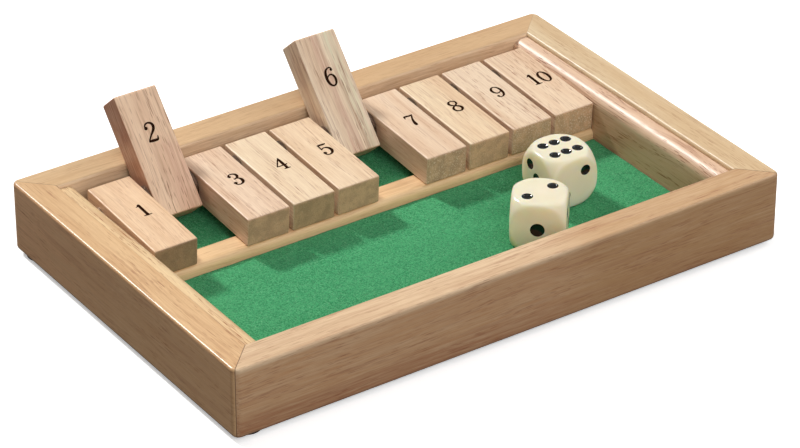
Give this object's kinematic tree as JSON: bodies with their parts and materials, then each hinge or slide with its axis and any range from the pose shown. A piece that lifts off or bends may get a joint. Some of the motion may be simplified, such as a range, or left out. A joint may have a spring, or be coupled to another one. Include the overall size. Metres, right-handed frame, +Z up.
{
  "type": "shut the box game",
  "caption": "Wooden tray game with felt-lined dice well, numbered tiles that flip on one steel rod, and dice.",
  "frame": {"origin": "on the standing surface, under the middle of the whole object's box: midway along the case, and midway between its front face and the top corner of the raised tiles behind its back face", "axes": "+X along the tile row from tile 1 to tile 10, +Y from the player's side to the tiles, +Z up"},
  "size_m": [0.181, 0.1196, 0.0416],
  "materials": {
    "case_wood": "clear varnish, satin to gloss",
    "panel_wood": "bare plywood",
    "tile_wood": "clear varnish, satin",
    "green_felt": "short napped felt",
    "bright_steel": "bright zinc-plated",
    "foot_rubber": "matt",
    "ivory_plastic": "polished"
  },
  "bodies": {
    "case": {"front_rail": "case_wood", "right_rail": "case_wood", "back_rail": "case_wood", "left_rail": "case_wood", "base_panel": "panel_wood", "foot_front_left": "foot_rubber", "foot_front_right": "foot_rubber", "foot_back_left": "foot_rubber", "foot_back_right": "foot_rubber", "left_cheek": "case_wood", "right_cheek": "case_wood", "rest_bar": "case_wood", "tray_felt": "green_felt", "tile_bay_felt": "green_felt", "hinge_rod": "bright_steel", "spacer_washers": "bright_steel"},
    "tile_1": {"tile_1": "tile_wood"},
    "tile_2": {"tile_2": "tile_wood"},
    "tile_3": {"tile_3": "tile_wood"},
    "tile_4": {"tile_4": "tile_wood"},
    "tile_5": {"tile_5": "tile_wood"},
    "tile_6": {"tile_6": "tile_wood"},
    "tile_7": {"tile_7": "tile_wood"},
    "tile_8": {"tile_8": "tile_wood"},
    "tile_9": {"tile_9": "tile_wood"},
    "tile_10": {"tile_10": "tile_wood"},
    "far_die": {"far_die": "ivory_plastic"},
    "near_die": {"near_die": "ivory_plastic"}
  },
  "joints": [
    {"name": "tile_1_hinge", "type": "hinge", "parent": "case", "child": "tile_1", "pos_m": [-0.06717, 0.03709, 0.01676], "axis": [-1, 0, 0], "range_deg": [0, 134.9]},
    {"name": "tile_2_hinge", "type": "hinge", "parent": "case", "child": "tile_2", "pos_m": [-0.05211, 0.03709, 0.01676], "axis": [-1, 0, 0], "range_deg": [-134.9, 0]},
    {"name": "tile_3_hinge", "type": "hinge", "parent": "case", "child": "tile_3", "pos_m": [-0.03705, 0.03709, 0.01676], "axis": [-1, 0, 0], "range_deg": [0, 134.9]},
    {"name": "tile_4_hinge", "type": "hinge", "parent": "case", "child": "tile_4", "pos_m": [-0.02199, 0.03709, 0.01676], "axis": [-1, 0, 0], "range_deg": [0, 134.9]},
    {"name": "tile_5_hinge", "type": "hinge", "parent": "case", "child": "tile_5", "pos_m": [-0.00693, 0.03709, 0.01676], "axis": [-1, 0, 0], "range_deg": [0, 134.9]},
    {"name": "tile_6_hinge", "type": "hinge", "parent": "case", "child": "tile_6", "pos_m": [0.00813, 0.03709, 0.01676], "axis": [-1, 0, 0], "range_deg": [-134.9, 0]},
    {"name": "tile_7_hinge", "type": "hinge", "parent": "case", "child": "tile_7", "pos_m": [0.02319, 0.03709, 0.01676], "axis": [-1, 0, 0], "range_deg": [0, 134.9]},
    {"name": "tile_8_hinge", "type": "hinge", "parent": "case", "child": "tile_8", "pos_m": [0.03825, 0.03709, 0.01676], "axis": [-1, 0, 0], "range_deg": [0, 134.9]},
    {"name": "tile_9_hinge", "type": "hinge", "parent": "case", "child": "tile_9", "pos_m": [0.05331, 0.03709, 0.01676], "axis": [-1, 0, 0], "range_deg": [0, 134.9]},
    {"name": "tile_10_hinge", "type": "hinge", "parent": "case", "child": "tile_10", "pos_m": [0.06837, 0.03709, 0.01676], "axis": [-1, 0, 0], "range_deg": [0, 134.9]},
    {"name": "far_die_lift", "type": "slide", "parent": "case", "child": "far_die", "axis": [0, 0, 1], "range_m": [0, 0.04]},
    {"name": "near_die_lift", "type": "slide", "parent": "case", "child": "near_die", "axis": [0, 0, 1], "range_m": [0, 0.04]}
  ]
}
